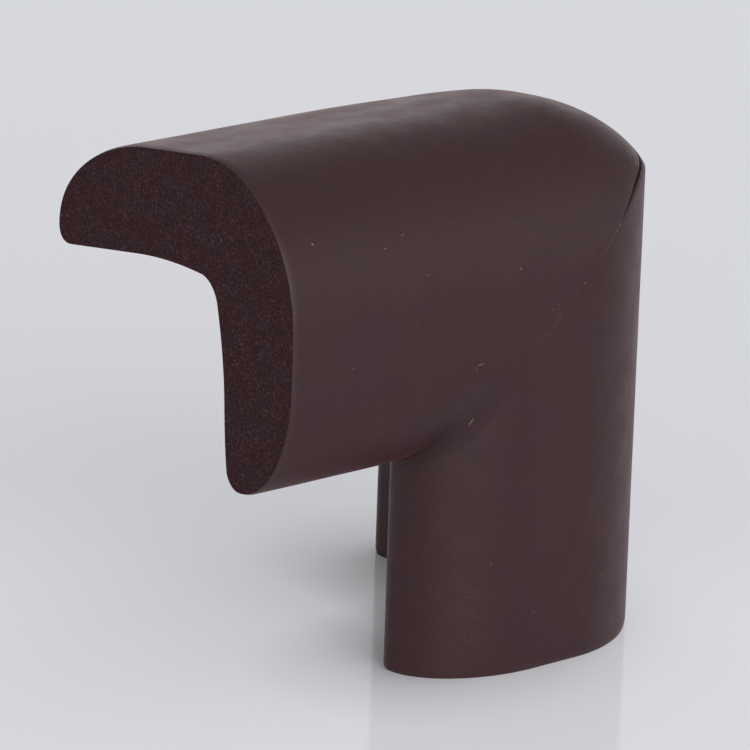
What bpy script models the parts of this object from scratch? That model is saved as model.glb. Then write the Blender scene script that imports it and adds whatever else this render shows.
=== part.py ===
"""Furniture corner protector: one piece of thick L-section rubber foam that covers a table corner.

The strip is notched at the middle of its front flange, folded to a right angle and bonded along the notch.
The folded piece has two arms. One lies along -X, and the upright one stands on its cut end. Both share the
front face, where the two halves of the front flange meet in a straight 45 degree seam. The side flange is
not cut: it runs along the top of the arm, round the corner and down the outer side of the upright.

A point of the section is (a, b): a is its depth behind the front face and b its depth below the outer side.
Each such point follows its own path: along the arm, round a bend, then down the upright. The bend is tight
at the seam and wide at the free back edge of the side flange, as it is when a thick foam strip is folded.

Metres, +Z up. The origin is the middle of the bounding box's underside.
"""

import bpy
import numpy as np

# The two arms, measured along the outer side
ARM_LENGTH = 0.060
UPRIGHT_HEIGHT = 0.0628

# The L section
FRONT_WIDTH = 0.0375
SIDE_WIDTH = 0.0420
FRONT_THICKNESS = 0.0117
SIDE_THICKNESS = 0.0121
OUTER_ROUND = 0.0173
FRONT_SHOULDER = 0.0140
SIDE_SHOULDER = 0.0154
EDGE_ROUND = 0.0023
ROOT_SWELL = 0.0014
ROOT_RUN = 0.0117
ROOT_ROUND = 0.0030

# How far the soft side flange has turned away from square, in degrees
ARM_DROOP = 8.3
UPRIGHT_DROOP = 1.4
DROOP_BLEND = 0.0040

# The fold
BEND_RADIUS = 0.0237
BEND_BLEND = 0.0007
SEAM_ROUND = 0.0010
SEAM_DEPTH = 0.00035
SEAM_HALF_WIDTH = 0.00035
SEAM_END = 0.0090
SEAM_FADE = 0.0040

# Straight pieces in each stretch of the section, and in the bend
FLAT_STEPS = 4
ROUND_STEPS = 12
SHOULDER_STEPS = 14
EDGE_STEPS = 5
SWELL_STEPS = 6
BEND_STEPS = 16

# Edges that turn more than this, in degrees, are shaded as crisp cuts
CRISP_ANGLE = 40.0

# The skin's colour and finish
FOAM_COLOUR = (0.058, 0.034, 0.036, 1.0)
FOAM_ROUGHNESS = 0.62


def ellipse(centre, radii, start, stop, steps):
    """Points on an ellipse from the start angle to the stop angle, in degrees."""
    turn = np.radians(np.linspace(start, stop, steps + 1))
    return np.stack([centre[0] + radii[0] * np.cos(turn), centre[1] + radii[1] * np.sin(turn)], axis=1)


def between(first, second):
    """Points along the straight stretch from the end of one curve to the start of the next."""
    share = np.linspace(0.0, 1.0, FLAT_STEPS + 1)[1:-1, None]
    return first[-1] * (1.0 - share) + second[0] * share


def flange_outline(width, thickness, shoulder, outer_round, root_start):
    """One flange as (along, deep), from the corner's diagonal round its tip to the inner round's start."""
    drop = thickness - EDGE_ROUND
    # The outer corner's quarter circle is shared by both flanges, so this one starts at its diagonal
    corner = ellipse((outer_round,) * 2, (outer_round,) * 2, 225, 270, ROUND_STEPS // 2)
    tip = ellipse((width - shoulder, drop), (shoulder, drop), 270, 360, SHOULDER_STEPS)
    edge = ellipse((width - EDGE_ROUND, drop), (EDGE_ROUND, EDGE_ROUND), 0, 90, EDGE_STEPS)[1:]
    # The inner face is flat, then thickens as a parabola towards the root
    share = np.linspace(0.0, 1.0, SWELL_STEPS + 1)
    along = root_start + ROOT_RUN * (1.0 - share)
    deep = thickness + ROOT_SWELL * share**2
    swell = np.stack([along, deep], axis=1)
    return np.concatenate([corner, between(corner, tip), tip, edge, between(edge, swell), swell])


def section():
    """The closed L section as rows of (a, b): the front flange runs along b and the side flange along a."""
    outer_round = min(OUTER_ROUND, FRONT_WIDTH - FRONT_SHOULDER, SIDE_WIDTH - SIDE_SHOULDER)
    front_root = SIDE_THICKNESS + ROOT_SWELL + ROOT_ROUND
    side_root = FRONT_THICKNESS + ROOT_SWELL + ROOT_ROUND
    front = flange_outline(FRONT_WIDTH, FRONT_THICKNESS, FRONT_SHOULDER, outer_round, front_root)[:, ::-1]
    side = flange_outline(SIDE_WIDTH, SIDE_THICKNESS, SIDE_SHOULDER, outer_round, side_root)
    # The inner corner is a parabola that leaves each flange along its own slope
    slope = 2.0 * ROOT_SWELL / ROOT_RUN
    pull = np.array([front[-1, 0], side[-1, 1]]) + slope * ROOT_ROUND
    share = np.linspace(0.0, 1.0, ROUND_STEPS + 1)[1:-1, None]
    inner = (1 - share) ** 2 * front[-1] + 2 * share * (1 - share) * pull + share**2 * side[-1]
    return np.concatenate([front, inner, side[:0:-1]])


def drooped(ring, degrees):
    """The section with its side flange turned down behind the front flange, starting with a soft blend."""
    behind = ring[:, 0] - FRONT_THICKNESS
    share = np.clip(behind / (2.0 * DROOP_BLEND) + 0.5, 0.0, 1.0)
    lever = np.where(behind > DROOP_BLEND, behind, DROOP_BLEND * share**2)
    return ring + np.stack([np.zeros(len(ring)), np.tan(np.radians(degrees)) * lever], axis=1)


def seam_dip(ring, outside, from_seam):
    """How far the skin dips into the bonded joint, on the outside of the front flange only."""
    fade = np.clip((SEAM_END - ring[:, 0]) / SEAM_FADE, 0.0, 1.0)
    return SEAM_DEPTH * fade * outside * np.exp(-((from_seam / SEAM_HALF_WIDTH) ** 2))


def foam_grid():
    """Every station's ring of points, from the arm's cut end round the bend to the upright's cut end."""
    ring = section()
    arm = drooped(ring, ARM_DROOP)
    upright = drooped(ring, UPRIGHT_DROOP)
    tip = int(np.argmax(ring[:, 1]))
    order = np.arange(len(ring))
    side_shoulder_start = SIDE_WIDTH - SIDE_SHOULDER
    outside = (order <= tip) | ((ring[:, 1] < SIDE_THICKNESS / 2) & (ring[:, 0] < side_shoulder_start))
    # The bend's radius on the outer side grows as the square root of the depth behind the front face
    reach = BEND_RADIUS * np.sqrt(np.clip(ring[:, 0], 0.0, None) / SIDE_WIDTH)

    depth, below = arm.T
    stations = [np.stack([np.full_like(depth, -ARM_LENGTH), depth, UPRIGHT_HEIGHT - below], axis=1)]
    for turn in np.linspace(0.0, np.pi / 2, BEND_STEPS + 1):
        # The arm's droop passes smoothly into the upright's
        share = turn / (np.pi / 2)
        share = share * share * (3.0 - 2.0 * share)
        depth, below = (arm * (1.0 - share) + upright * share).T
        # Below that radius a point turns about the fold's own small round, with a soft step between the two
        radius = SEAM_ROUND + BEND_BLEND * np.logaddexp(0.0, (reach - below) / BEND_BLEND)
        centre = below + radius
        dip = seam_dip(ring, outside, radius * (turn - np.pi / 4))
        along = -centre + radius * np.sin(turn)
        up = UPRIGHT_HEIGHT - centre + radius * np.cos(turn)
        stations.append(np.stack([along, depth + dip, up], axis=1))
    depth, below = upright.T
    stations.append(np.stack([-below, depth, np.zeros_like(depth)], axis=1))
    return np.stack(stations)


def foam_material():
    """The matt dark brown skin."""
    material = bpy.data.materials.new("brown_foam_skin")
    material.use_nodes = True
    shader = material.node_tree.nodes["Principled BSDF"]
    shader.inputs["Base Color"].default_value = FOAM_COLOUR
    shader.inputs["Roughness"].default_value = FOAM_ROUGHNESS
    shader.inputs["Metallic"].default_value = 0.0
    return material


def build_protector(collection):
    """The one closed solid: a skin of quads between the stations, and a flat cut face on each arm's end."""
    grid = foam_grid()
    stations, around = grid.shape[:2]
    points = grid.reshape(-1, 3)
    low, high = points.min(axis=0), points.max(axis=0)
    points = points - [(low[0] + high[0]) / 2, (low[1] + high[1]) / 2, low[2]]

    row = np.arange(stations - 1)[:, None] * around
    here = np.arange(around)
    after = (here + 1) % around
    walls = np.stack([row + here, row + after, row + around + after, row + around + here], axis=2)
    faces = walls.reshape(-1, 4).tolist()
    faces.append(list(range(around))[::-1])
    faces.append(list(range((stations - 1) * around, stations * around)))

    mesh = bpy.data.meshes.new("corner_protector")
    mesh.from_pydata(points.tolist(), [], faces)
    mesh.shade_smooth()
    mesh.set_sharp_from_angle(angle=np.radians(CRISP_ANGLE))
    mesh.materials.append(foam_material())
    collection.objects.link(bpy.data.objects.new("corner_protector", mesh))


def main():
    """Clears the scene and builds the part in a collection of its own."""
    for old in list(bpy.data.objects):
        bpy.data.objects.remove(old, do_unlink=True)
    collection = bpy.data.collections.new("furniture_corner_protector")
    bpy.context.scene.collection.children.link(collection)
    build_protector(collection)


main()
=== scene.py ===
# %% [markdown]
# # A folded foam corner protector
# The real object is one strip of thick rubber foam with an L section. A mitre was cut out of the middle of its
# front flange, the strip was folded to a right angle, and the cut was glued shut. What you see is a smooth moulded
# skin, two raw cut ends where the fine foam cells show, and one diagonal seam.
#
# This lesson dresses a measured solid. The solid comes from CAD and never moves, and the looks are built round it
# in the same frame, in metres, with Z up.

import bpy
import numpy as np
from mathutils import Matrix, Vector


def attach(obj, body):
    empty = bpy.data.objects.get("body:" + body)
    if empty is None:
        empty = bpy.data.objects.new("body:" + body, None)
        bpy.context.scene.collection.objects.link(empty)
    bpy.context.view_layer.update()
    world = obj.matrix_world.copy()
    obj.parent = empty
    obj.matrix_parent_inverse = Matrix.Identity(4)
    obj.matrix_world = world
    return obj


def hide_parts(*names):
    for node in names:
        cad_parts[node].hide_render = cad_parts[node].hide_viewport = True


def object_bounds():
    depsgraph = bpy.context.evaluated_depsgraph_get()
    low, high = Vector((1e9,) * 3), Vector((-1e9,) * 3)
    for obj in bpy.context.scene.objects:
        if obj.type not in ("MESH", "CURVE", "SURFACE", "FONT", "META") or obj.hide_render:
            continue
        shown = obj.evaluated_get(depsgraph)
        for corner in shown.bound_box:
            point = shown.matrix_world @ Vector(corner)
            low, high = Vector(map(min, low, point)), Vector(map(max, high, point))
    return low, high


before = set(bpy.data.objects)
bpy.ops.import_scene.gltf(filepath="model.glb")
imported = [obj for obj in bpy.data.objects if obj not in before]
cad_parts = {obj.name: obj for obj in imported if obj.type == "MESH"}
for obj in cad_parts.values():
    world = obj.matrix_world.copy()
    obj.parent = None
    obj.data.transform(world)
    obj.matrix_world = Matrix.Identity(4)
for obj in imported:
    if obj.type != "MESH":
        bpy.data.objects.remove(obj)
cad_low, cad_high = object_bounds()
print("CAD box in mm:", [round(1000 * value, 2) for value in (*cad_low, *cad_high)])

# %% [markdown]
# ## The camera
# A product photographer stands well back with a long lens, so that the object's edges stay nearly parallel. The
# camera here has the place, turn and lens that bring the solid's edges onto those of the photograph. The rotation
# is written as three directions: the picture's right, its up, and the way back towards the camera.

# %% Place the camera
SENSOR_WIDTH = 36.0
LENS = 302.04
LENS_SHIFT = (-0.00056, -0.00135)
CAMERA_PLACE = Vector((-0.441530, -0.518372, 0.244374))
PICTURE_RIGHT = (0.767540, -0.640242, 0.031176)
PICTURE_UP = (0.169117, 0.249175, 0.953578)
PICTURE_BACK = (-0.618289, -0.726637, 0.299528)

camera_data = bpy.data.cameras.new("studio_camera")
camera_data.sensor_width = SENSOR_WIDTH
camera_data.lens = LENS
camera_data.shift_x, camera_data.shift_y = LENS_SHIFT
camera = bpy.data.objects.new("studio_camera", camera_data)
turn = Matrix((PICTURE_RIGHT, PICTURE_UP, PICTURE_BACK)).transposed().to_4x4()
camera.matrix_world = Matrix.Translation(CAMERA_PLACE) @ turn
bpy.context.scene.collection.objects.link(camera)
bpy.context.scene.camera = camera
print("Camera distance in mm:", round(1000 * CAMERA_PLACE.length, 1))

# %% [markdown]
# ## The L section
# The strip was extruded, so its skin has nearly the same outline everywhere. A point of the outline is (a, b), where
# a is its depth behind the front face and b its depth below the outer side. Modelling it as one closed curve keeps
# the rounded outer corner, the tapered flange tips and the thickened inner root in one skin, with no joints between
# separate parts. Each flange starts at the outer corner's diagonal, goes round its own tip and ends at the root.
#
# Real foam isn't extruded quite evenly. On the arm the flanges are a little fuller inside than on the upright, so
# there are two outlines, and one passes into the other round the bend.

# %% Sizes of the strip
ARM_LENGTH = 0.060
UPRIGHT_HEIGHT = 0.0628
FRONT_WIDTH = 0.0375
SIDE_WIDTH = 0.0420
FRONT_THICKNESS = 0.0117
SIDE_THICKNESS = 0.0121
OUTER_ROUND = 0.0173
FRONT_SHOULDER = 0.0140
SIDE_SHOULDER = 0.0154
EDGE_ROUND = 0.0023
ROOT_SWELL = 0.0014
ROOT_RUN = 0.0117
ROOT_ROUND = 0.0030
TIP_TAPER = 0.00045

# Extra fullness of the inner side at the root, at the tip, and the power of the way between them
FRONT_FULL = (0.00042, -0.00038, 1.5)
SIDE_FULL = (0.00022, 0.00058, 0.7)
# The upright's share of it
UPRIGHT_FULL = 0.35

# Straight pieces in each stretch of the outline
CORNER_STEPS = 22
OUTER_STEPS = 8
TIP_STEPS = 40
EDGE_STEPS = 10
INNER_STEPS = 12
SWELL_STEPS = 16
ROOT_STEPS = 14
print("Strip's flanges in mm:", round(FRONT_WIDTH * 1e3, 1), round(SIDE_WIDTH * 1e3, 1))


# %% Curves that make up the outline
def ellipse(centre, radii, start, stop, steps):
    """centre + radii times (cos t, sin t), with t running evenly from start to stop in degrees."""
    t = np.radians(np.linspace(start, stop, steps + 1))
    return np.stack([centre[0] + radii[0] * np.cos(t), centre[1] + radii[1] * np.sin(t)], axis=1)


def straight(first, second, steps):
    """The points inside the straight stretch from the end of one curve to the start of the next."""
    share = np.linspace(0.0, 1.0, steps + 1)[1:-1, None]
    return first[-1] * (1.0 - share) + second[0] * share


def flange(width, thickness, shoulder, root_start, taper, full):
    """One flange as rows of (along, deep). It is the outer quarter-round's second half, a straight stretch, a
    quarter ellipse to the tip, a small edge round, a flat inner face, and a parabola that thickens the flange by
    ROOT_SWELL times share squared over the last ROOT_RUN. The tip is thinner by the taper, which grows with the
    square of the way to it. The inner half is fuller by full[0] at the root and full[1] at the tip, and between
    them by the way from root to tip to the power of full[2]."""
    drop = thickness - EDGE_ROUND
    corner = ellipse((OUTER_ROUND, OUTER_ROUND), (OUTER_ROUND, OUTER_ROUND), 225, 270, CORNER_STEPS)
    tip = ellipse((width - shoulder, drop), (shoulder, drop), 270, 360, TIP_STEPS)
    edge = ellipse((width - EDGE_ROUND, drop), (EDGE_ROUND, EDGE_ROUND), 0, 90, EDGE_STEPS)[1:]
    share = np.linspace(0.0, 1.0, SWELL_STEPS + 1)
    swell = np.stack([root_start + ROOT_RUN * (1.0 - share), thickness + ROOT_SWELL * share**2], axis=1)
    points = np.concatenate([corner, straight(corner, tip, OUTER_STEPS), tip, edge,
                             straight(edge, swell, INNER_STEPS), swell])
    to_tip = np.clip((points[:, 0] - swell[0, 0]) / (width - swell[0, 0]), 0.0, 1.0)
    inner_half = np.clip(2.0 * points[:, 1] / thickness - 1.0, 0.0, 1.0)
    points[:, 1] -= taper * to_tip**2 * np.clip(points[:, 1] / thickness, 0.0, 1.0)
    from_root = np.clip((points[:, 0] - root_start) / (width - root_start), 0.0, 1.0)
    fuller = full[0] + (full[1] - full[0]) * from_root ** full[2]
    points[:, 1] += fuller * inner_half * inner_half * (3.0 - 2.0 * inner_half)
    return points


print("Length of the outer round in mm:", round(OUTER_ROUND * np.pi / 2 * 1e3, 1))


# %% Join the two flanges into one closed outline
def outline(share):
    """The closed outline as rows of (a, b). The inner corner is a parabola with its control point where the two
    flanges' end slopes meet. The share says how much of the extra fullness the outline has."""
    front_full = (FRONT_FULL[0] * share, FRONT_FULL[1] * share, FRONT_FULL[2])
    side_full = (SIDE_FULL[0] * share, SIDE_FULL[1] * share, SIDE_FULL[2])
    front_root = SIDE_THICKNESS + ROOT_SWELL + ROOT_ROUND
    side_root = FRONT_THICKNESS + ROOT_SWELL + ROOT_ROUND
    front = flange(FRONT_WIDTH, FRONT_THICKNESS, FRONT_SHOULDER, front_root, TIP_TAPER, front_full)[:, ::-1]
    side = flange(SIDE_WIDTH, SIDE_THICKNESS, SIDE_SHOULDER, side_root, 0.0, side_full)
    end_slope = 2.0 * ROOT_SWELL / ROOT_RUN
    pull = np.array([front[-1, 0], side[-1, 1]]) + end_slope * ROOT_ROUND
    way = np.linspace(0.0, 1.0, ROOT_STEPS + 1)[1:-1, None]
    inner = (1 - way) ** 2 * front[-1] + 2 * way * (1 - way) * pull + way**2 * side[-1]
    return np.concatenate([front, inner, side[:0:-1]])


def outward(points):
    """The outline's unit normals in its own plane: the closed curve's tangent turned a quarter to the outside."""
    tangent = np.roll(points, -1, axis=0) - np.roll(points, 1, axis=0)
    tangent /= np.linalg.norm(tangent, axis=1, keepdims=True)
    return np.stack([-tangent[:, 1], tangent[:, 0]], axis=1)


print("Outline points:", len(outline(0.0)))

# %% The outline on the upright and on the arm
ring = outline(UPRIGHT_FULL)
arm_ring = outline(1.0)
ring_normal = outward(ring)
enclosed = 0.5 * np.sum(ring[:, 0] * np.roll(ring[:, 1], -1) - ring[:, 1] * np.roll(ring[:, 0], -1))
ring_normal *= -np.sign(enclosed)
print("Area of the upright's section in mm2:", round(abs(enclosed) * 1e6, 1))

# %% [markdown]
# ## The fold as a grid
# Each outline point follows its own path: along the arm, round a bend, down the upright. Two parameters give the
# whole skin: the place round the outline, and the station along the path. A station has three numbers: the straight
# run still to go on the arm, the turn of the bend, and the straight run done on the upright. The soft side flange
# droops behind the front flange, on the arm more than on the upright, so the outline turns with the station.
#
# A thick strip folds tightly where it was cut and gently where it wasn't, so the bend reaches further along both arms
# the deeper a point lies behind the front face, and not equally far along each. Folding also stretches the outer
# skin. It bulges over the corner in a low crown, and the free back edge sags behind it. Where the seam reaches the
# front flange's inner edge, the fold is rounder. The stations crowd together at the middle of the bend, because the
# seam lies there and needs fine steps.

# %% Stations along the path
ARM_REACH = 0.02084
ARM_GROWTH = 0.254
UPRIGHT_REACH = 0.0247
UPRIGHT_GROWTH = 0.594
BEND_BLEND = 0.00087
FOLD_ROUND = 0.0011
VALLEY_ROUND = 0.0019
VALLEY_MIDDLE = 0.0322
VALLEY_REACH = 0.0032
ARM_DROOP = 8.13
UPRIGHT_DROOP = 1.39
DROOP_BLEND = 0.0040
BEND_STEPS = 92
RUN_STEPS = 46
CROWDING = 1.7

END_STEPS = np.array([0.0, 0.04, 0.09, 0.15, 0.23, 0.34, 0.48, 0.68, 0.95]) * 1e-3
middle = np.linspace(-1.0, 1.0, BEND_STEPS + 1)
bend_turn = np.pi / 4 * (1.0 + np.sign(middle) * np.abs(middle) ** CROWDING)
run_share = np.linspace(0.0, 1.0, RUN_STEPS + 1)[1:-1]
arm_count = len(END_STEPS) + len(run_share)
print("Stations:", 2 * arm_count + len(bend_turn))


# %% The turn and section of every grid point
behind = ring[:, 0] - FRONT_THICKNESS
lever_start = np.clip(behind / (2.0 * DROOP_BLEND) + 0.5, 0.0, 1.0)
lever = np.where(behind > DROOP_BLEND, behind, DROOP_BLEND * lever_start**2)

turn_angle = np.concatenate([np.zeros(arm_count), bend_turn, np.full(arm_count, np.pi / 2)])[:, None]
blend = turn_angle / (np.pi / 2)
blend = blend * blend * (3.0 - 2.0 * blend)
droop = np.tan(np.radians(ARM_DROOP)) * (1.0 - blend) + np.tan(np.radians(UPRIGHT_DROOP)) * blend
below = arm_ring[:, 1] * (1.0 - blend) + ring[:, 1] * blend + droop * lever
depth = arm_ring[:, 0] * (1.0 - blend) + ring[:, 0] * blend
middle_droop = np.degrees(np.arctan(droop[len(droop) // 2, 0]))
print("Droop at the middle of the bend in degrees:", round(float(middle_droop), 2))


# %% How far the bend reaches
def hump(value, place, width):
    """A smooth bump of height 1 at the place: exp(-((value - place) / width) squared)."""
    return np.exp(-(((value - place) / width) ** 2))


before_front_tip = np.arange(len(ring)) <= int(np.argmax(ring[:, 1]))
fold_round = FOLD_ROUND + VALLEY_ROUND * before_front_tip * hump(ring[:, 1], VALLEY_MIDDLE, VALLEY_REACH)
print("The fold's own round in mm:", round(fold_round.min() * 1e3, 2), "to", round(fold_round.max() * 1e3, 2))


def bend_size(reach, growth):
    """Reach times depth to the growth's power, less the distance below the outer side, and never under the fold's
    own round. BEND_BLEND softens the step between the two."""
    wanted = reach * (np.clip(ring[:, 0], 1e-9, None) / SIDE_WIDTH) ** growth - below
    return fold_round + BEND_BLEND * np.logaddexp(0.0, wanted / BEND_BLEND)


# %% Each point's place on its own oval curve
arm_size = bend_size(ARM_REACH, ARM_GROWTH)
upright_size = bend_size(UPRIGHT_REACH, UPRIGHT_GROWTH)
oval_angle = np.arctan2(arm_size * np.sin(turn_angle), upright_size * np.cos(turn_angle))
swing_along = arm_size * (np.sin(oval_angle) - 1.0) - below
swing_down = upright_size * (np.cos(oval_angle) - 1.0) - below
print("Bend sizes at the back edge in mm:", round(arm_size.max() * 1e3, 1), round(upright_size.max() * 1e3, 1))


# %% The straight runs on both sides of the bend
def runs(length, to_centre):
    """The straight run from the bend to each station: the first ones step off from the cut end, the rest share out
    what is left evenly, and the bend's own first station ends it."""
    near_cut = (length - to_centre)[None] - END_STEPS[:, None]
    return np.concatenate([near_cut, near_cut[-1] * (1.0 - run_share[:, None])])


no_run = np.zeros((len(bend_turn), len(ring)))
still = np.zeros((arm_count, len(ring)))
arm_run = np.concatenate([runs(ARM_LENGTH, (below + arm_size)[0]), no_run, still])
upright_run = np.concatenate([still, no_run, runs(UPRIGHT_HEIGHT, (below + upright_size)[-1])[::-1]])
print("Longest straight runs in mm:", round(arm_run.max() * 1e3, 1), round(upright_run.max() * 1e3, 1))

# %% The crown over the corner and the sag behind it
CROWN_HEIGHT = 0.00094
CROWN_PLACE = -0.0070
CROWN_REACH = 0.01325
CROWN_DEPTH = 0.02187
CROWN_WIDTH = 0.00587
SAG_DEPTH = 0.00077
SAG_PLACE = -0.01123
SAG_REACH = 0.00805

path_place = upright_run - arm_run + arm_size * (turn_angle - np.pi / 4)
crown = CROWN_HEIGHT * hump(path_place, CROWN_PLACE, CROWN_REACH) * hump(depth, CROWN_DEPTH, CROWN_WIDTH)
lift = crown - SAG_DEPTH * hump(path_place, SAG_PLACE, SAG_REACH) * lever / lever.max()
swing_along = swing_along + lift * np.sin(turn_angle)
swing_down = swing_down + lift * np.cos(turn_angle)
print("Highest crown in mm:", round(lift.max() * 1e3, 2), "deepest sag:", round(lift.min() * 1e3, 2))

# %% [markdown]
# ## Relief on the skin
# A perfect extrusion looks like plastic. Three things make it foam: the skin is a little wavy, it rolls inwards at
# each knife cut, and the glued seam shows. The seam is a narrow groove at the top, which swerves towards the upright
# at the very lip, then a hairline in a faint hollow, and at its lower end a soft valley. Each is a height in metres
# along the outline's own normal, added up before the points are placed, so the skin stays one closed surface.

# %% Where each point would lie without relief
shift_x = cad_low.x + ARM_LENGTH
shift_y = cad_low.y


def placed(height=0.0):
    """x is the swing along the arm less the arm's straight run, z is the swing down less the upright's run, and
    y is the depth. A height moves the point along the outline's normal, which has turned with the station."""
    sink = ring_normal[:, 1] * height
    x = swing_along - sink * np.sin(turn_angle) - arm_run
    z = UPRIGHT_HEIGHT + swing_down - sink * np.cos(turn_angle) - upright_run
    return np.stack([x + shift_x, depth + ring_normal[:, 0] * height + shift_y, z], axis=2)


plain = placed()
print("Plain skin box in mm:", (plain.min(axis=(0, 1)) * 1e3).round(2), (plain.max(axis=(0, 1)) * 1e3).round(2))

# %% Sizes of the waves, the rolled cuts and the seam
FRONT_DEPTH = 0.0070
FRONT_FADE = 0.0025
WAVE_HEIGHT = 0.000012
WAVE_COUNT = 7
WAVE_SHORTEST = 0.008
WAVE_LONGEST = 0.024
ROLL_WIDTH = 0.00080
ROLL_DEPTH = 0.00016
GROOVE_DEPTH = 0.00050
GROOVE_HALF_WIDTH = 0.00009
GROOVE_OPENING = 0.00005
GROOVE_END = 0.0124
GROOVE_FADE = 0.005
HOLLOW_DEPTH = 0.00004
HOLLOW_HALF_WIDTH = 0.0010
LIP_SHIFT = 0.0012
LIP_START = 0.0094
LIP_SPAN = 0.0040
VALLEY_START = 0.0305
VALLEY_DEPTH = 0.00022
VALLEY_PLACE = -0.0009
VALLEY_HALF_WIDTH = 0.0019
VALLEY_FADE = 0.004
DIAGONAL = 1.0 / np.sqrt(2.0)
SEAM_OFFSET = (UPRIGHT_HEIGHT - shift_x) * DIAGONAL
print("The seam's plane from the origin in mm:", round(SEAM_OFFSET * 1e3, 2))

# %% Waves and rolled cuts
wave_turns = np.random.default_rng(4).uniform(-1.0, 1.0, (WAVE_COUNT, 3))
wave_lengths = np.linspace(WAVE_SHORTEST, WAVE_LONGEST, WAVE_COUNT)
wave_turns *= (2.0 * np.pi / wave_lengths / np.linalg.norm(wave_turns, axis=1))[:, None]
waves = np.mean(np.sin(plain @ wave_turns.T + np.arange(float(WAVE_COUNT))), axis=2) * WAVE_HEIGHT * 2.0

from_cut = np.minimum(plain[..., 0] - cad_low.x, plain[..., 2])
roll = -ROLL_DEPTH * np.clip(1.0 - from_cut / ROLL_WIDTH, 0.0, 1.0) ** 2
print("Wave heights in mm:", round(waves.min() * 1e3, 3), "to", round(waves.max() * 1e3, 3))

# %% The seam's groove, hollow and valley
to_lip = np.clip((LIP_START - UPRIGHT_HEIGHT + plain[..., 2]) / LIP_SPAN, 0.0, 1.0)
from_seam = (plain[..., 0] - plain[..., 2]) * DIAGONAL + SEAM_OFFSET - LIP_SHIFT * to_lip**2
on_side = (ring[:, 1] < SIDE_THICKNESS / 2) & (ring[:, 0] < SIDE_WIDTH - SIDE_SHOULDER)
on_front = (before_front_tip | on_side) * np.clip((FRONT_DEPTH - ring[:, 0]) / FRONT_FADE, 0.0, 1.0)
upper = np.clip((GROOVE_END - ring[:, 1]) / GROOVE_FADE, 0.0, 1.0)
groove = -GROOVE_DEPTH * on_front * upper * hump(from_seam, 0.0, GROOVE_HALF_WIDTH + GROOVE_OPENING * upper)
hollow = -HOLLOW_DEPTH * on_front * hump(from_seam, 0.0, HOLLOW_HALF_WIDTH)
lower = np.clip((ring[:, 1] - VALLEY_START) / VALLEY_FADE, 0.0, 1.0) * before_front_tip
valley = -VALLEY_DEPTH * lower * hump(from_seam, VALLEY_PLACE, VALLEY_HALF_WIDTH)
relief = waves + roll + groove + hollow + valley
print("Relief in mm:", round(relief.min() * 1e3, 3), "to", round(relief.max() * 1e3, 3))

# %% [markdown]
# ## The cut ends
# A knife squeezes foam while it cuts, so each raw end springs back very slightly hollow. Each end is a few rings that
# step inwards from the skin along the outline's normals, and one flat face closes the middle.

# %% Rings of the cut faces
CUT_RINGS = np.array([0.10, 0.25, 0.5, 0.85, 1.3]) * 1e-3
CUT_HOLLOW = 0.00012
CUT_SETTLE = 0.0006

skin = placed(relief)
foot_normal = np.stack([-ring_normal[:, 1], ring_normal[:, 0], np.zeros(len(ring))], axis=1)
arm_normal = np.stack([np.zeros(len(ring)), ring_normal[:, 0], -ring_normal[:, 1]], axis=1)


def cut_rings(edge, normal, inwards):
    """Rings that step in from the cut's edge, sunk by CUT_HOLLOW times (1 - exp(-step / CUT_SETTLE))."""
    step = CUT_RINGS[:, None, None]
    return edge - normal * step + np.array(inwards) * CUT_HOLLOW * (1.0 - np.exp(-step / CUT_SETTLE))


arm_cut = cut_rings(skin[0], arm_normal, (1.0, 0.0, 0.0))
foot_cut = cut_rings(skin[-1], foot_normal, (0.0, 0.0, 1.0))
print("Rings on each cut face:", len(CUT_RINGS))

# %% One closed mesh from the skin and both cut ends
grid = np.concatenate([arm_cut[::-1], skin, foot_cut])
rows, around = grid.shape[:2]
points = grid.reshape(-1, 3)
here = np.arange(around)
after = (here + 1) % around
row = np.arange(rows - 1)[:, None] * around
walls = np.stack([row + here, row + after, row + around + after, row + around + here], axis=2).reshape(-1, 4)
faces = walls.tolist() + [list(range(around))[::-1], list(range((rows - 1) * around, rows * around))]
foam_mesh = bpy.data.meshes.new("foam_corner")
foam_mesh.from_pydata(points.tolist(), [], faces)
is_cut = np.zeros((rows - 1, around), int)
is_cut[: len(CUT_RINGS)] = 1
is_cut[-len(CUT_RINGS) :] = 1
material_of_face = np.concatenate([is_cut.ravel(), [1, 1]]).astype(np.int32)
print("Foam faces:", len(faces))

# %% Normals, sharp cuts and the object
CRISP_ANGLE = 35.0
volume = np.sum(points[walls[:, 0]] * np.cross(points[walls[:, 1]], points[walls[:, 2]]))
print("Normals point outwards:", bool(volume > 0.0))
foam_mesh.shade_smooth()
foam_mesh.set_sharp_from_angle(angle=np.radians(CRISP_ANGLE))
foam = bpy.data.objects.new("foam_corner", foam_mesh)
bpy.context.scene.collection.objects.link(foam)

# %% [markdown]
# ## Helpers for materials
# A node material is a small network. These helpers keep the cells below short: one adds a node with its settings and
# whatever feeds it, and one opens a node group with named sockets.


# %% Node helpers
def add(tree, kind, settings=None, **feeds):
    """Adds a node, sets its properties, and sets or links its inputs. A key such as i2 names an input by number,
    and underscores in other keys stand for spaces."""
    made = tree.nodes.new(kind)
    for key, value in (settings or {}).items():
        setattr(made, key, value)
    for key, value in feeds.items():
        by_number = key[0] == "i" and key[1:].isdigit()
        socket = made.inputs[int(key[1:]) if by_number else key.replace("_", " ")]
        if isinstance(value, bpy.types.NodeSocket):
            tree.links.new(value, socket)
        else:
            socket.default_value = value
    return made


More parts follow.
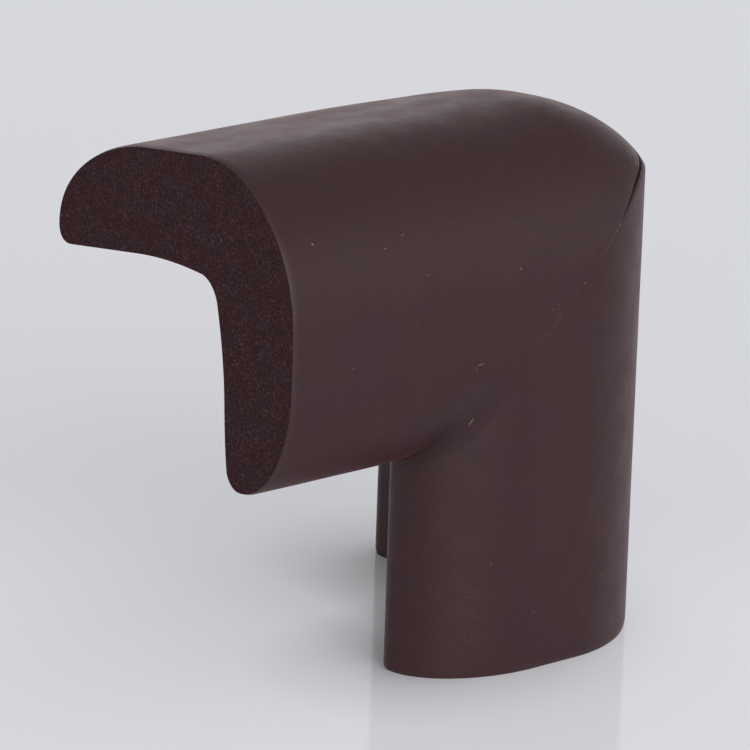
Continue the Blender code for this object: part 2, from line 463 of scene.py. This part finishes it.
def new_group(name, inputs, outputs):
    """A shader node group with the given (name, socket type, default) inputs and (name, socket type) outputs."""
    tree = bpy.data.node_groups.new(name, "ShaderNodeTree")
    for label, kind, value in inputs:
        made = tree.interface.new_socket(name=label, in_out="INPUT", socket_type=kind)
        if value is not None:
            made.default_value = value
    for label, kind in outputs:
        tree.interface.new_socket(name=label, in_out="OUTPUT", socket_type=kind)
    return tree, tree.nodes.new("NodeGroupInput").outputs, tree.nodes.new("NodeGroupOutput").inputs


def ramp(tree, value, low, high, out_low=0.0, out_high=1.0):
    """Maps value from low..high to out_low..out_high, with a smooth start and stop."""
    return add(tree, "ShaderNodeMapRange", {"interpolation_type": "SMOOTHSTEP"}, Value=value, From_Min=low,
               From_Max=high, To_Min=out_low, To_Max=out_high).outputs[0]


def math(tree, operation, first, second=0.0):
    """The value of one Math node."""
    return add(tree, "ShaderNodeMath", {"operation": operation}, i0=first, i1=second).outputs[0]


def mixed(tree, factor, first, second):
    """first where factor is 0, second where it is 1, as colours."""
    return add(tree, "ShaderNodeMix", {"data_type": "RGBA"}, i0=factor, i6=first, i7=second).outputs[2]


def times(tree, first, *others):
    """The product of two or more values."""
    for other in others:
        first = math(tree, "MULTIPLY", first, other)
    return first


print("Helpers:", [helper.__name__ for helper in (add, new_group, ramp, math, mixed, times)])


# %% [markdown]
# ## Three effects as node groups
# **Mottle**: the brown pigment isn't mixed perfectly, so the colour drifts softly between two browns over several
# millimetres. **Flecks**: tiny pale specks of dust and torn foam, scattered thinly. Voronoi cells place them, and a
# random number per cell keeps only a few. Both foam surfaces use these two. **Marks**: single scuffs and specks at
# known places on the skin's front, each an oval whose edge is where (along / half length) squared plus
# (across / half width) squared is one.

# %% Mottle group
mottle_tree, given, result = new_group(
    "pigment_mottle",
    [("Vector", "NodeSocketVector", None), ("Warm", "NodeSocketColor", (0.05, 0.02, 0.02, 1.0)),
     ("Cool", "NodeSocketColor", (0.05, 0.03, 0.03, 1.0)), ("Scale", "NodeSocketFloat", 150.0)],
    [("Color", "NodeSocketColor")],
)
broad = add(mottle_tree, "ShaderNodeTexNoise", Vector=given["Vector"], Scale=given["Scale"], Detail=3.0,
            Roughness=0.55)
mottle_share = ramp(mottle_tree, broad.outputs[0], 0.36, 0.64)
mottle_tree.links.new(mixed(mottle_tree, mottle_share, given["Warm"], given["Cool"]), result["Color"])
print("Mottle nodes:", len(mottle_tree.nodes))

# %% Fleck group
fleck_tree, given, result = new_group(
    "pale_flecks",
    [("Vector", "NodeSocketVector", None), ("Scale", "NodeSocketFloat", 700.0), ("Share", "NodeSocketFloat", 0.05),
     ("Size", "NodeSocketFloat", 0.1)],
    [("Mask", "NodeSocketFloat")],
)
cells = add(fleck_tree, "ShaderNodeTexVoronoi", Vector=given["Vector"], Scale=given["Scale"])
chance = add(fleck_tree, "ShaderNodeSeparateColor", Color=cells.outputs["Color"]).outputs[0]
chosen = math(fleck_tree, "LESS_THAN", chance, given["Share"])
small = add(fleck_tree, "ShaderNodeMapRange", {"interpolation_type": "SMOOTHSTEP"}, Value=cells.outputs["Distance"],
            From_Min=given["Size"], From_Max=0.0).outputs[0]
fleck_tree.links.new(math(fleck_tree, "MULTIPLY", chosen, small), result["Mask"])
print("Fleck nodes:", len(fleck_tree.nodes))

# %% Group for one mark on the front face
mark_tree, given, result = new_group(
    "front_mark",
    [("Vector", "NodeSocketVector", None), ("Centre", "NodeSocketVector", (0.0, 0.0, 0.0)),
     ("Along", "NodeSocketVector", (1.0, 0.0, 0.0)), ("Half Length", "NodeSocketFloat", 0.0003),
     ("Half Width", "NodeSocketFloat", 0.0001)],
    [("Mask", "NodeSocketFloat")],
)
offset = add(mark_tree, "ShaderNodeVectorMath", {"operation": "SUBTRACT"}, i0=given["Vector"], i1=given["Centre"])
flat_offset = add(mark_tree, "ShaderNodeVectorMath", {"operation": "MULTIPLY"}, i0=offset.outputs[0],
                  i1=(1.0, 0.0, 1.0))
along = add(mark_tree, "ShaderNodeVectorMath", {"operation": "DOT_PRODUCT"}, i0=flat_offset.outputs[0],
            i1=given["Along"]).outputs[1]
on_line = add(mark_tree, "ShaderNodeVectorMath", {"operation": "SCALE"}, i0=given["Along"], Scale=along)
off_line = add(mark_tree, "ShaderNodeVectorMath", {"operation": "DISTANCE"}, i0=flat_offset.outputs[0],
               i1=on_line.outputs[0]).outputs[1]
long_share = math(mark_tree, "DIVIDE", along, given["Half Length"])
wide_share = math(mark_tree, "DIVIDE", off_line, given["Half Width"])
both = math(mark_tree, "ADD", math(mark_tree, "MULTIPLY", long_share, long_share),
            math(mark_tree, "MULTIPLY", wide_share, wide_share))
mark_tree.links.new(ramp(mark_tree, both, 1.0, 0.15), result["Mask"])
print("Groups:", [tree.name for tree in bpy.data.node_groups])

# %% [markdown]
# ## The moulded skin
# The skin is closed, satin and faintly pebbled, like fine leather without creases. Its grain is a Voronoi and a noise
# at about 0.2 mm, used as a bump, because at that size real geometry would cost millions of faces. The colour comes
# from the mottle. Near the knife cuts the skin is rubbed a little paler. Along the seam, painted shade draws a dark
# line in the groove, a broken pale hairline marks dried glue where the seam is flush, and painted shade darkens the
# valley at the lower end, where little light gets in.

# %% Skin: coordinates and the seam's own measures
SKIN_WARM = (0.0380, 0.0112, 0.0130, 1.0)
SKIN_COOL = (0.0352, 0.0119, 0.0150, 1.0)
SKIN_PALE = (0.110, 0.072, 0.074, 1.0)
FLECK_COLOUR = (0.30, 0.25, 0.24, 1.0)
FLECK_SHARE = 0.75

skin_material = bpy.data.materials.new("moulded_foam_skin")
skin_material.use_nodes = True
tree = skin_material.node_tree
tree.nodes.clear()
coords = add(tree, "ShaderNodeTexCoord").outputs["Object"]
axes = add(tree, "ShaderNodeSeparateXYZ", Vector=coords).outputs
on_diagonal = math(tree, "MULTIPLY", math(tree, "SUBTRACT", axes[0], axes[2]), DIAGONAL)
below_top = math(tree, "SUBTRACT", UPRIGHT_HEIGHT, axes[2])
lip = add(tree, "ShaderNodeMapRange", Value=below_top, From_Min=LIP_START, From_Max=LIP_START - LIP_SPAN).outputs[0]
lip = math(tree, "MULTIPLY", math(tree, "MULTIPLY", lip, lip), -LIP_SHIFT)
across = math(tree, "ABSOLUTE", math(tree, "ADD", math(tree, "ADD", on_diagonal, lip), SEAM_OFFSET))
front_only = ramp(tree, axes[1], -0.010, -0.013)
print("Skin nodes for places:", len(tree.nodes))

# %% Skin: colour
mottle = add(tree, "ShaderNodeGroup", {"node_tree": mottle_tree}, Vector=coords, Warm=SKIN_WARM, Cool=SKIN_COOL,
             Scale=130.0).outputs[0]
flecks = add(tree, "ShaderNodeGroup", {"node_tree": fleck_tree}, Vector=coords, Scale=420.0, Share=0.035,
             Size=0.075).outputs[0]
grain = add(tree, "ShaderNodeTexNoise", Vector=coords, Scale=4200.0, Detail=2.0, Roughness=0.6).outputs[0]
grain_tone = ramp(tree, grain, 0.25, 0.75, 0.80, 1.20)
toned = add(tree, "ShaderNodeVectorMath", {"operation": "SCALE"}, i0=mottle, Scale=grain_tone).outputs[0]
cut_distance = math(tree, "MINIMUM", math(tree, "SUBTRACT", axes[0], cad_low.x), axes[2])
rubbed = ramp(tree, cut_distance, 0.0011, 0.0, 0.0, 0.14)
toned = mixed(tree, rubbed, toned, SKIN_PALE)
toned = mixed(tree, math(tree, "MULTIPLY", flecks, FLECK_SHARE), toned, FLECK_COLOUR)
print("Skin nodes with the colour:", len(tree.nodes))

# %% Skin: painted shade in the seam's groove, and the glue hairline
GROOVE_SHADE_COLOUR = (0.008, 0.005, 0.005, 1.0)
GLUE_COLOUR = (0.22, 0.17, 0.165, 1.0)
GLUE_SHARE = 0.16

# Painted shade: a dark line in the seam's groove at the top.
groove_shade = times(tree, ramp(tree, across, 0.00014, 0.00005), ramp(tree, below_top, 0.0125, 0.0100), front_only)
toned = mixed(tree, groove_shade, toned, GROOVE_SHADE_COLOUR)
broken = add(tree, "ShaderNodeTexNoise", Vector=coords, Scale=900.0, Detail=3.0).outputs[0]
hairline = times(tree, ramp(tree, across, 0.00010, 0.00002), ramp(tree, broken, 0.42, 0.60),
                 ramp(tree, below_top, 0.0115, 0.0130), ramp(tree, below_top, 0.0290, 0.0220, 0.10, 1.0), front_only)
toned = mixed(tree, math(tree, "MULTIPLY", hairline, GLUE_SHARE), toned, GLUE_COLOUR)
print("Skin nodes with the seam:", len(tree.nodes))

# %% Skin: painted shade in the soft valley where the seam meets the front edge
VALLEY_SHADE_PLACE = 0.0021
VALLEY_SHADE_COLOUR = (0.008, 0.0045, 0.005, 1.0)
VALLEY_SHADE_SHARE = 0.72

# Painted shade: the valley at the seam's lower end and the upright's flank just below the arm's lip.
across_valley = math(tree, "ABSOLUTE", math(tree, "ADD", on_diagonal, SEAM_OFFSET + VALLEY_SHADE_PLACE))
valley_edge = ramp(tree, below_top, 0.0320, 0.0385, 0.0024, 0.0052)
valley_shade = math(tree, "SUBTRACT", 1.0, math(tree, "DIVIDE", across_valley, valley_edge))
valley_shade = times(tree, ramp(tree, valley_shade, 0.0, 1.0), ramp(tree, below_top, 0.0305, 0.0365),
                  ramp(tree, axes[1], -0.006, -0.012))
toned = mixed(tree, math(tree, "MULTIPLY", valley_shade, VALLEY_SHADE_SHARE), toned, VALLEY_SHADE_COLOUR)
print("Skin nodes with the valley:", len(tree.nodes))

# %% Skin: scuffs and specks on the front, as x, z, turn in degrees, half length, half width and strength
MARK_SHARE = 0.45
MARK_COLOUR = (0.36, 0.29, 0.27, 1.0)
MARKS = (
    (-0.0030, 0.0377, 5.0, 0.00075, 0.00010, 0.55),
    (-0.0036, 0.0372, -55.0, 0.00045, 0.00008, 0.50),
    (-0.0256, 0.0546, 20.0, 0.00018, 0.00014, 0.90),
    (-0.0161, 0.0528, 0.0, 0.00020, 0.00010, 0.55),
    (-0.0133, 0.0538, 30.0, 0.00025, 0.00010, 0.45),
    (-0.0108, 0.0492, 0.0, 0.00014, 0.00010, 0.50),
    (-0.0215, 0.0405, 10.0, 0.00030, 0.00008, 0.45),
    (-0.0125, 0.0440, 80.0, 0.00030, 0.00007, 0.30),
    (0.0004, 0.0134, 0.0, 0.00018, 0.00010, 0.50),
    (0.0062, 0.0068, 40.0, 0.00025, 0.00009, 0.45),
    (0.0176, 0.0503, 0.0, 0.00014, 0.00012, 0.75),
    (0.0170, 0.0497, 0.0, 0.00012, 0.00010, 0.55),
    (0.0119, 0.0446, 45.0, 0.00020, 0.00012, 0.60),
    (-0.0026, 0.0305, 62.0, 0.00060, 0.00011, 0.85),
    (0.0226, 0.0559, 60.0, 0.00040, 0.00010, 0.60),
    (0.0229, 0.0549, 20.0, 0.00022, 0.00010, 0.45),
)
for x, z, turn_degrees, half_length, half_width, strength in MARKS:
    angle = np.radians(turn_degrees)
    mark = add(tree, "ShaderNodeGroup", {"node_tree": mark_tree}, Vector=coords, Centre=(x, 0.0, z),
               Along=(np.cos(angle), 0.0, np.sin(angle)), Half_Length=half_length, Half_Width=half_width).outputs[0]
    toned = mixed(tree, times(tree, mark, front_only, strength * MARK_SHARE), toned, MARK_COLOUR)
print("Marks:", len(MARKS))

# %% Skin: roughness, grain bump and shader
SKIN_ROUGHNESS = 0.47
SHEEN_TINT = (1.0, 0.35, 0.42, 1.0)

patches = add(tree, "ShaderNodeTexNoise", Vector=coords, Scale=260.0, Detail=4.0, Roughness=0.6).outputs[0]
roughness = ramp(tree, patches, 0.3, 0.7, SKIN_ROUGHNESS - 0.04, SKIN_ROUGHNESS + 0.05)
pebbles = add(tree, "ShaderNodeTexVoronoi", {"feature": "SMOOTH_F1"}, Vector=coords, Scale=4600.0).outputs[0]
height = math(tree, "ADD", math(tree, "MULTIPLY", pebbles, -0.6), grain)
bump = add(tree, "ShaderNodeBump", Height=height, Strength=0.5, Distance=0.00006)
orange_peel = add(tree, "ShaderNodeBump", Height=patches, Strength=0.25, Distance=0.00025, Normal=bump.outputs[0])
skin_shader = add(tree, "ShaderNodeBsdfPrincipled", Base_Color=toned, Roughness=roughness, IOR=1.40,
                  Sheen_Weight=0.10, Sheen_Roughness=0.35, Sheen_Tint=SHEEN_TINT,
                  Normal=orange_peel.outputs[0])
add(tree, "ShaderNodeOutputMaterial", Surface=skin_shader.outputs[0])
print("Skin nodes:", len(tree.nodes))

# %% [markdown]
# ## The cut foam
# Where the knife went through, the closed cells lie open: pits of about 0.2 mm with thin walls between them. They
# trap light, so the cut face looks darker and redder than the skin and has no sheen. A Voronoi pattern gives the pits,
# a second larger one varies them, and a few torn walls catch the light as pale flecks. The pits are darkened with
# painted shade, and the walls between them are lightened with painted light.

# %% Cut foam: painted shade in the pits, painted light on the walls, and flecks
CUT_WARM = (0.0430, 0.0132, 0.0160, 1.0)
CUT_COOL = (0.0380, 0.0142, 0.0180, 1.0)
# The pit colour is painted shade, and the wall colour is painted light.
CUT_PIT_SHADE = (0.0150, 0.0050, 0.0062, 1.0)
CUT_WALL_LIGHT = (0.090, 0.052, 0.057, 1.0)
CUT_FLECK = (0.40, 0.34, 0.34, 1.0)
PIT_SHADE_SHARE = 0.80
CUT_FLECK_SHARE = 0.5

cut_material = bpy.data.materials.new("cut_foam_cells")
cut_material.use_nodes = True
tree = cut_material.node_tree
tree.nodes.clear()
coords = add(tree, "ShaderNodeTexCoord").outputs["Object"]
mottle = add(tree, "ShaderNodeGroup", {"node_tree": mottle_tree}, Vector=coords, Warm=CUT_WARM, Cool=CUT_COOL,
             Scale=420.0).outputs[0]
pits = add(tree, "ShaderNodeTexVoronoi", Vector=coords, Scale=3600.0)
big_pits = add(tree, "ShaderNodeTexVoronoi", Vector=coords, Scale=1500.0)
pit_depth = ramp(tree, pits.outputs[0], 0.75, 0.10)
pit_chance = add(tree, "ShaderNodeSeparateColor", Color=pits.outputs["Color"]).outputs[1]
pit_mask = math(tree, "MULTIPLY", pit_depth, ramp(tree, pit_chance, 0.1, 0.9))
# Painted shade darkens the pits.
toned = mixed(tree, math(tree, "MULTIPLY", pit_mask, PIT_SHADE_SHARE), mottle, CUT_PIT_SHADE)
# Painted light brightens the walls between the pits.
painted_wall_light = math(tree, "MULTIPLY", ramp(tree, pits.outputs[0], 0.45, 0.95), ramp(tree, pit_chance, 0.9, 0.2))
toned = mixed(tree, painted_wall_light, toned, CUT_WALL_LIGHT)
flecks = add(tree, "ShaderNodeGroup", {"node_tree": fleck_tree}, Vector=coords, Scale=900.0, Share=0.02,
             Size=0.12).outputs[0]
toned = mixed(tree, math(tree, "MULTIPLY", flecks, CUT_FLECK_SHARE), toned, CUT_FLECK)
print("Cut foam nodes with the colour:", len(tree.nodes))

# %% Cut foam: bump and shader
height = math(tree, "ADD", math(tree, "MULTIPLY", pit_mask, -1.0), math(tree, "MULTIPLY", big_pits.outputs[0], 0.6))
bump = add(tree, "ShaderNodeBump", Height=height, Strength=0.65, Distance=0.00012)
cut_shader = add(tree, "ShaderNodeBsdfPrincipled", Base_Color=toned, Roughness=0.92, IOR=1.30,
                 Normal=bump.outputs[0])
add(tree, "ShaderNodeOutputMaterial", Surface=cut_shader.outputs[0])
print("Cut foam nodes:", len(tree.nodes))

# %% [markdown]
# ## The dressed piece takes the solid's place
# The real protector is one piece of foam, so one dressed piece stands for the one CAD solid and rides on its only
# body. The skin is the first material and the cut foam the second, and each face has the number of its own.

# %% Dress the foam and let it stand for the CAD solid
foam_mesh.materials.append(skin_material)
foam_mesh.materials.append(cut_material)
foam_mesh.polygons.foreach_set("material_index", material_of_face)
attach(foam, "root")
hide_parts("corner_protector")
print("Faces of cut foam:", int(material_of_face.sum()))

# %% [markdown]
# ## The table
# The object stands on a large pale sheet with a slight gloss. The sheet shows the soft shadow under the arm and a dim
# mirror image of the upright, and its own colour makes it pale. A photographer lights such a sheet until it nearly
# burns out. Here a part of what the camera sees of it is a glow in the backdrop's colour, with painted light that
# makes it a little brighter near the camera. Where the object stands in the way of the light, the glow fades to black
# as a painted shadow. Ambient occlusion measures that, with a direction that leans towards the brighter side of the
# room.

# %% Table
TABLE_RADIUS = 4.0
TABLE_COLOUR = (0.810, 0.817, 0.856, 1.0)
BACKGROUND_COLOUR = (0.690, 0.697, 0.733, 1.0)
TABLE_RINGS = 24
TABLE_SPOKES = 96

spoke = np.linspace(0.0, 1.0, TABLE_RINGS + 1)[1:] ** 2 * TABLE_RADIUS
clock = np.linspace(0.0, 2.0 * np.pi, TABLE_SPOKES + 1)[:-1]
flat = np.stack([np.outer(spoke, np.cos(clock)), np.outer(spoke, np.sin(clock)), np.outer(spoke, 0.0 * clock)], axis=2)
table_points = np.concatenate([[[0.0, 0.0, 0.0]], flat.reshape(-1, 3)])
spin = np.arange(TABLE_SPOKES)
spin_after = (spin + 1) % TABLE_SPOKES
inner_ring = 1 + np.arange(TABLE_RINGS - 1)[:, None] * TABLE_SPOKES
outer_ring = inner_ring + TABLE_SPOKES
quads = np.stack([inner_ring + spin, outer_ring + spin, outer_ring + spin_after, inner_ring + spin_after], axis=2)
fan = np.stack([np.zeros(TABLE_SPOKES, int), 1 + spin, 1 + spin_after], axis=1)
table_mesh = bpy.data.meshes.new("pale_table")
table_mesh.from_pydata(table_points.tolist(), [], fan.tolist() + quads.reshape(-1, 4).tolist())
table = bpy.data.objects.new("pale_table", table_mesh)
bpy.context.scene.collection.objects.link(table)
print("Table faces:", len(table_mesh.polygons))

# %% Table material
GLOW_SHARE = 0.30
SKY_LEAN = (0.55, -0.45, 0.70)
SKY_REACH = 0.0165
# Painted light: the glow's colour near the camera.
NEAR_PAINTED_LIGHT_COLOUR = (0.880, 0.887, 0.925, 1.0)
NEAR_START = -0.052
NEAR_END = -0.004
# Black for the painted shadow where the object covers the light.
PAINTED_SHADOW_COLOUR = (0.0, 0.0, 0.0, 1.0)

table_material = bpy.data.materials.new("pale_satin_table")
table_material.use_nodes = True
tree = table_material.node_tree
tree.nodes.clear()
table_shader = add(tree, "ShaderNodeBsdfPrincipled", Base_Color=TABLE_COLOUR, Roughness=0.08, IOR=1.30)
place = add(tree, "ShaderNodeTexCoord").outputs["Object"]
towards_camera = add(tree, "ShaderNodeVectorMath", {"operation": "DOT_PRODUCT"}, i0=place,
                     i1=(PICTURE_BACK[0], PICTURE_BACK[1], 0.0)).outputs[1]
# Painted light: the glow is a little brighter towards the camera.
painted_glow_colour = mixed(tree, ramp(tree, towards_camera, NEAR_START, NEAR_END), BACKGROUND_COLOUR, NEAR_PAINTED_LIGHT_COLOUR)
# Painted shadow: the glow fades to black where the object covers the light.
lean = add(tree, "ShaderNodeCombineXYZ", X=SKY_LEAN[0], Y=SKY_LEAN[1], Z=SKY_LEAN[2]).outputs[0]
open_sky = add(tree, "ShaderNodeAmbientOcclusion", {"samples": 2}, Distance=SKY_REACH, Normal=lean).outputs["AO"]
open_sky = ramp(tree, open_sky, 0.30, 1.0)
painted_glow_colour = mixed(tree, open_sky, PAINTED_SHADOW_COLOUR, painted_glow_colour)
glow = add(tree, "ShaderNodeEmission", Color=painted_glow_colour, Strength=1.0)
camera_share = math(tree, "MULTIPLY", add(tree, "ShaderNodeLightPath").outputs["Is Camera Ray"], GLOW_SHARE)
table_surface = add(tree, "ShaderNodeMixShader", i0=camera_share, i1=table_shader.outputs[0], i2=glow.outputs[0])
add(tree, "ShaderNodeOutputMaterial", Surface=table_surface.outputs[0])
table_mesh.materials.append(table_material)
print("Table nodes:", len(tree.nodes))

# %% [markdown]
# ## The light and the room
# The key light is a big soft box, low before the front face and a little towards the arm. It gives the front faces
# their even brown. The room is a pale world without objects. Its fill light is stronger from above and from the front
# right, so the two arms differ slightly. Glossy rays see a room that is brighter near the horizon than overhead,
# which draws the pale band along the crest. The camera sees the plain backdrop colour.


# %% Lights
def soft_box(name, azimuth, elevation, distance, size, level):
    """A square area light aimed at the middle of the part. A white card that faces it renders at the given level,
    so its power is pi squared times the level times the distance squared."""
    data = bpy.data.lights.new(name, "AREA")
    data.shape = "SQUARE"
    data.size = size
    data.energy = np.pi**2 * level * distance**2
    lamp = bpy.data.objects.new(name, data)
    a, e = np.radians(azimuth), np.radians(elevation)
    back = Vector((np.sin(a) * np.cos(e), -np.cos(a) * np.cos(e), np.sin(e)))
    lamp.rotation_euler = back.to_track_quat("Z", "Y").to_euler()
    lamp.location = (cad_low + cad_high) / 2 + back * distance
    bpy.context.scene.collection.objects.link(lamp)
    print(name, "power in watts:", round(data.energy, 1))


soft_box("key_light", azimuth=-20.0, elevation=22.0, distance=1.5, size=1.2, level=0.50)

# %% The pale room
GLOSS_LOW = 1.20
GLOSS_HIGH = 0.30
FILL_LOW = 0.53
FILL_HIGH = 0.66
FRONT_RIGHT = (0.50, -0.87, 0.0)
BEHIND_SHARE = 0.60
FRONT_SHARE = 1.28
FILL_COLOUR = (0.985, 0.99, 1.0, 1.0)
GLOSS_COLOUR = (0.98, 0.985, 1.0, 1.0)

world = bpy.data.worlds.new("pale_room")
bpy.context.scene.world = world
world.use_nodes = True
tree = world.node_tree
tree.nodes.clear()
towards = add(tree, "ShaderNodeTexCoord").outputs["Generated"]
rise = add(tree, "ShaderNodeSeparateXYZ", Vector=towards).outputs[2]
front_right = add(tree, "ShaderNodeVectorMath", {"operation": "DOT_PRODUCT"}, i0=towards, i1=FRONT_RIGHT).outputs[1]
fill_level = math(tree, "MULTIPLY", ramp(tree, rise, 0.0, 0.9, FILL_LOW, FILL_HIGH),
                  ramp(tree, front_right, -1.0, 1.0, BEHIND_SHARE, FRONT_SHARE))
gloss_level = ramp(tree, rise, 0.15, 0.80, GLOSS_LOW, GLOSS_HIGH)
path = add(tree, "ShaderNodeLightPath").outputs
glossy = math(tree, "MAXIMUM", path["Is Glossy Ray"], path["Is Transmission Ray"])
fill = add(tree, "ShaderNodeBackground", Color=FILL_COLOUR, Strength=fill_level)
mirrored = add(tree, "ShaderNodeBackground", Color=GLOSS_COLOUR, Strength=gloss_level)
shown = add(tree, "ShaderNodeBackground", Color=BACKGROUND_COLOUR, Strength=1.0)
both = add(tree, "ShaderNodeMixShader", i0=glossy, i1=fill.outputs[0], i2=mirrored.outputs[0])
all_three = add(tree, "ShaderNodeMixShader", i0=path["Is Camera Ray"], i1=both.outputs[0], i2=shown.outputs[0])
add(tree, "ShaderNodeOutputWorld", Surface=all_three.outputs[0])
print("World nodes:", len(tree.nodes))

# %% [markdown]
# The Standard view shows the colours without a film look, so they can be compared with the photograph.

# %% View
bpy.context.scene.view_settings.view_transform = "Standard"
